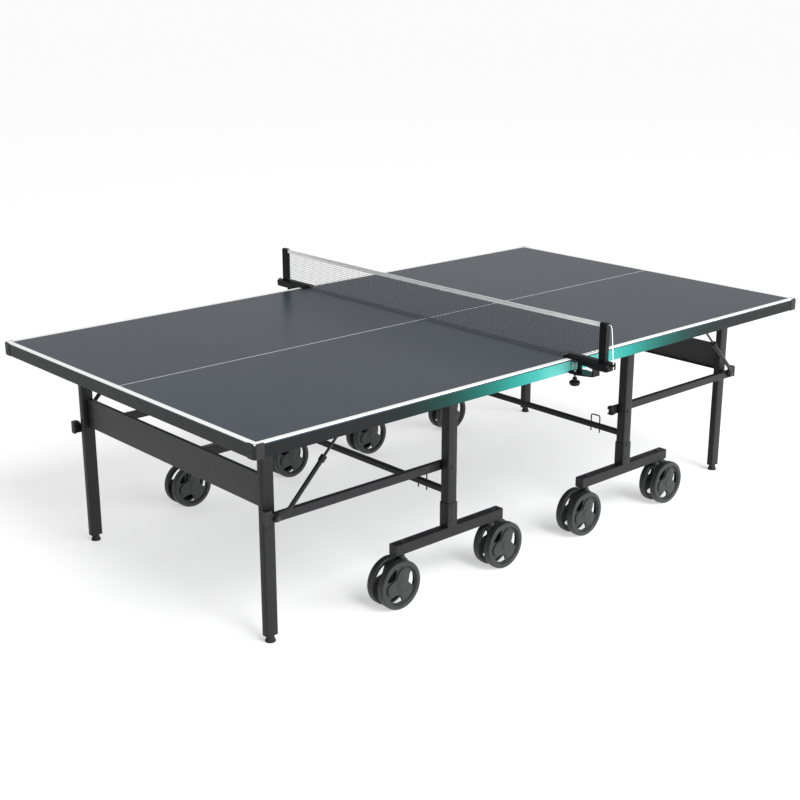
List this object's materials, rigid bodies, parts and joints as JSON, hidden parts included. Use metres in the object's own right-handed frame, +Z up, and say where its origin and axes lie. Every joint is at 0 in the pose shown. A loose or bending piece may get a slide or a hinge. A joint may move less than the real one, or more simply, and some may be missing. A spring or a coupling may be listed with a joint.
{
  "type": "table tennis table",
  "caption": "Full-size folding table tennis table on twin-wheel castor trolleys, with end legs, link rails, stays and a clamp-on net.",
  "frame": {"origin": "on the floor under the middle of the net line", "axes": "+X along the table's length, +Y across it, +Z up; half a is on the -X side and the near side is -Y"},
  "size_m": [2.74, 1.868, 0.9085],
  "materials": {
    "playing_surface": "satin slate blue laminate with white edge and centre lines",
    "frame_black": "satin black powder coat",
    "apron": "satin black powder coat, side aprons shading to teal towards the net",
    "foot_rubber": "matte black",
    "castor_plastic": "matte black",
    "clamp_plastic": "fine-grained black",
    "zinc_screw": "zinc-plated rod with a black plastic knob",
    "net_fabric": "dark woven mesh with a white top tape",
    "cord_fabric": "white braid"
  },
  "bodies": {
    "trolley_a": {"castor_beam_far_a": "frame_black", "castor_beam_near_a": "frame_black", "cross_tube_a": "frame_black", "post_far_a": "frame_black", "post_near_a": "frame_black"},
    "top_a": {"tabletop_a": "playing_surface", "apron_frame_a": "apron"},
    "legs_a": {"leg_near_a": "frame_black", "leg_far_a": "frame_black", "leg_cross_panel_a": "frame_black"},
    "rails_a": {"link_rail_near_a": "frame_black", "link_rail_far_a": "frame_black"},
    "stay_tubes_a": {"stay_tube_near_a": "frame_black", "stay_tube_far_a": "frame_black"},
    "stay_rods_a": {"stay_rod_near_a": "frame_black", "stay_rod_far_a": "frame_black"},
    "leveller_near_a": {"leveller_near_a": "foot_rubber"},
    "leveller_far_a": {"leveller_far_a": "foot_rubber"},
    "castor_1_a": {"castor_yoke_1_a": "castor_plastic"},
    "wheels_1_a": {"castor_wheels_1_a": "castor_plastic"},
    "castor_2_a": {"castor_yoke_2_a": "castor_plastic"},
    "wheels_2_a": {"castor_wheels_2_a": "castor_plastic"},
    "castor_3_a": {"castor_yoke_3_a": "castor_plastic"},
    "wheels_3_a": {"castor_wheels_3_a": "castor_plastic"},
    "castor_4_a": {"castor_yoke_4_a": "castor_plastic"},
    "wheels_4_a": {"castor_wheels_4_a": "castor_plastic"},
    "trolley_b": {"castor_beam_far_b": "frame_black", "castor_beam_near_b": "frame_black", "cross_tube_b": "frame_black", "post_far_b": "frame_black", "post_near_b": "frame_black"},
    "top_b": {"tabletop_b": "playing_surface", "apron_frame_b": "apron"},
    "legs_b": {"leg_near_b": "frame_black", "leg_far_b": "frame_black", "leg_cross_panel_b": "frame_black"},
    "rails_b": {"link_rail_near_b": "frame_black", "link_rail_far_b": "frame_black"},
    "stay_tubes_b": {"stay_tube_near_b": "frame_black", "stay_tube_far_b": "frame_black"},
    "stay_rods_b": {"stay_rod_near_b": "frame_black", "stay_rod_far_b": "frame_black"},
    "leveller_near_b": {"leveller_near_b": "foot_rubber"},
    "leveller_far_b": {"leveller_far_b": "foot_rubber"},
    "castor_1_b": {"castor_yoke_1_b": "castor_plastic"},
    "wheels_1_b": {"castor_wheels_1_b": "castor_plastic"},
    "castor_2_b": {"castor_yoke_2_b": "castor_plastic"},
    "wheels_2_b": {"castor_wheels_2_b": "castor_plastic"},
    "castor_3_b": {"castor_yoke_3_b": "castor_plastic"},
    "wheels_3_b": {"castor_wheels_3_b": "castor_plastic"},
    "castor_4_b": {"castor_yoke_4_b": "castor_plastic"},
    "wheels_4_b": {"castor_wheels_4_b": "castor_plastic"},
    "net_set": {"net": "net_fabric", "net_post_near": "clamp_plastic", "net_post_far": "clamp_plastic", "tension_cord": "cord_fabric"},
    "jaw_near": {"clamp_jaw_near": "clamp_plastic"},
    "screw_near": {"clamp_screw_near": "zinc_screw"},
    "jaw_far": {"clamp_jaw_far": "clamp_plastic"},
    "screw_far": {"clamp_screw_far": "zinc_screw"}
  },
  "joints": [
    {"name": "fold_a", "type": "hinge", "parent": "trolley_a", "child": "top_a", "pos_m": [-0.467, 0, 0.72], "axis": [0, 1, 0], "range_deg": [0, 90]},
    {"name": "legs_fold_a", "type": "hinge", "parent": "top_a", "child": "legs_a", "pos_m": [-1.179, 0, 0.72], "axis": [0, 1, 0], "range_deg": [-90, 0]},
    {"name": "rails_fold_a", "type": "hinge", "parent": "trolley_a", "child": "rails_a", "pos_m": [-0.467, 0, 0.436], "axis": [0, 1, 0], "range_deg": [0, 90]},
    {"name": "stays_fold_a", "type": "hinge", "parent": "legs_a", "child": "stay_tubes_a", "pos_m": [-1.179, 0, 0.436], "axis": [0, 1, 0], "range_deg": [0, 135]},
    {"name": "stays_slide_a", "type": "slide", "parent": "stay_tubes_a", "child": "stay_rods_a", "axis": [0.7071, 0, 0.7071], "range_m": [-0.08, 0]},
    {"name": "level_near_a", "type": "slide", "parent": "legs_a", "child": "leveller_near_a", "axis": [0, 0, 1], "range_m": [-0.012, 0]},
    {"name": "level_far_a", "type": "slide", "parent": "legs_a", "child": "leveller_far_a", "axis": [0, 0, 1], "range_m": [-0.012, 0]},
    {"name": "swivel_1_a", "type": "hinge", "parent": "trolley_a", "child": "castor_1_a", "pos_m": [-0.682, -0.619, 0.183], "axis": [0, 0, 1], "continuous": true},
    {"name": "spin_1_a", "type": "hinge", "parent": "castor_1_a", "child": "wheels_1_a", "pos_m": [-0.718, -0.619, 0.086], "axis": [0, 1, 0], "continuous": true},
    {"name": "swivel_2_a", "type": "hinge", "parent": "trolley_a", "child": "castor_2_a", "pos_m": [-0.256, -0.619, 0.183], "axis": [0, 0, 1], "continuous": true},
    {"name": "spin_2_a", "type": "hinge", "parent": "castor_2_a", "child": "wheels_2_a", "pos_m": [-0.22, -0.619, 0.086], "axis": [0, 1, 0], "continuous": true},
    {"name": "swivel_3_a", "type": "hinge", "parent": "trolley_a", "child": "castor_3_a", "pos_m": [-0.682, 0.619, 0.183], "axis": [0, 0, 1], "continuous": true},
    {"name": "spin_3_a", "type": "hinge", "parent": "castor_3_a", "child": "wheels_3_a", "pos_m": [-0.718, 0.619, 0.086], "axis": [0, 1, 0], "continuous": true},
    {"name": "swivel_4_a", "type": "hinge", "parent": "trolley_a", "child": "castor_4_a", "pos_m": [-0.256, 0.619, 0.183], "axis": [0, 0, 1], "continuous": true},
    {"name": "spin_4_a", "type": "hinge", "parent": "castor_4_a", "child": "wheels_4_a", "pos_m": [-0.22, 0.619, 0.086], "axis": [0, 1, 0], "continuous": true},
    {"name": "fold_b", "type": "hinge", "parent": "trolley_b", "child": "top_b", "pos_m": [0.467, 0, 0.72], "axis": [0, -1, 0], "range_deg": [0, 90]},
    {"name": "legs_fold_b", "type": "hinge", "parent": "top_b", "child": "legs_b", "pos_m": [1.179, 0, 0.72], "axis": [0, -1, 0], "range_deg": [-90, 0]},
    {"name": "rails_fold_b", "type": "hinge", "parent": "trolley_b", "child": "rails_b", "pos_m": [0.467, 0, 0.436], "axis": [0, -1, 0], "range_deg": [0, 90]},
    {"name": "stays_fold_b", "type": "hinge", "parent": "legs_b", "child": "stay_tubes_b", "pos_m": [1.179, 0, 0.436], "axis": [0, -1, 0], "range_deg": [0, 135]},
    {"name": "stays_slide_b", "type": "slide", "parent": "stay_tubes_b", "child": "stay_rods_b", "axis": [-0.7071, 0, 0.7071], "range_m": [-0.08, 0]},
    {"name": "level_near_b", "type": "slide", "parent": "legs_b", "child": "leveller_near_b", "axis": [0, 0, 1], "range_m": [-0.012, 0]},
    {"name": "level_far_b", "type": "slide", "parent": "legs_b", "child": "leveller_far_b", "axis": [0, 0, 1], "range_m": [-0.012, 0]},
    {"name": "swivel_1_b", "type": "hinge", "parent": "trolley_b", "child": "castor_1_b", "pos_m": [0.682, -0.619, 0.183], "axis": [0, 0, 1], "continuous": true},
    {"name": "spin_1_b", "type": "hinge", "parent": "castor_1_b", "child": "wheels_1_b", "pos_m": [0.718, -0.619, 0.086], "axis": [0, 1, 0], "continuous": true},
    {"name": "swivel_2_b", "type": "hinge", "parent": "trolley_b", "child": "castor_2_b", "pos_m": [0.256, -0.619, 0.183], "axis": [0, 0, 1], "continuous": true},
    {"name": "spin_2_b", "type": "hinge", "parent": "castor_2_b", "child": "wheels_2_b", "pos_m": [0.22, -0.619, 0.086], "axis": [0, 1, 0], "continuous": true},
    {"name": "swivel_3_b", "type": "hinge", "parent": "trolley_b", "child": "castor_3_b", "pos_m": [0.682, 0.619, 0.183], "axis": [0, 0, 1], "continuous": true},
    {"name": "spin_3_b", "type": "hinge", "parent": "castor_3_b", "child": "wheels_3_b", "pos_m": [0.718, 0.619, 0.086], "axis": [0, 1, 0], "continuous": true},
    {"name": "swivel_4_b", "type": "hinge", "parent": "trolley_b", "child": "castor_4_b", "pos_m": [0.256, 0.619, 0.183], "axis": [0, 0, 1], "continuous": true},
    {"name": "spin_4_b", "type": "hinge", "parent": "castor_4_b", "child": "wheels_4_b", "pos_m": [0.22, 0.619, 0.086], "axis": [0, 1, 0], "continuous": true},
    {"name": "halves_apart", "type": "slide", "parent": "trolley_a", "child": "trolley_b", "axis": [1, 0, 0], "range_m": [0, 0.5]},
    {"name": "net_lift", "type": "slide", "parent": "trolley_a", "child": "net_set", "axis": [0, 0, 1], "range_m": [0, 0.3]},
    {"name": "screw_turn_near", "type": "hinge", "parent": "net_set", "child": "screw_near", "pos_m": [-0.027, -0.7835, 0.7], "axis": [0, 0, 1], "range_deg": [-1440, 0]},
    {"name": "jaw_travel_near", "type": "slide", "parent": "net_set", "child": "jaw_near", "axis": [0, 0, 1], "range_m": [-0.006, 0]},
    {"name": "screw_turn_far", "type": "hinge", "parent": "net_set", "child": "screw_far", "pos_m": [0.027, 0.7835, 0.7], "axis": [0, 0, 1], "range_deg": [-1440, 0]},
    {"name": "jaw_travel_far", "type": "slide", "parent": "net_set", "child": "jaw_far", "axis": [0, 0, 1], "range_m": [-0.006, 0]}
  ],
  "couplings": [
    {"joint": "legs_fold_a", "follows": "fold_a", "ratio": -1},
    {"joint": "rails_fold_a", "follows": "fold_a", "ratio": 1},
    {"joint": "stays_fold_a", "follows": "fold_a", "ratio": 1.5},
    {"joint": "stays_slide_a", "follows": "fold_a", "m_per_rad": -0.05093},
    {"joint": "legs_fold_b", "follows": "fold_b", "ratio": -1},
    {"joint": "rails_fold_b", "follows": "fold_b", "ratio": 1},
    {"joint": "stays_fold_b", "follows": "fold_b", "ratio": 1.5},
    {"joint": "stays_slide_b", "follows": "fold_b", "m_per_rad": -0.05093},
    {"joint": "jaw_travel_near", "follows": "screw_turn_near", "m_per_rad": 0.000238},
    {"joint": "jaw_travel_far", "follows": "screw_turn_far", "m_per_rad": 0.000238}
  ]
}
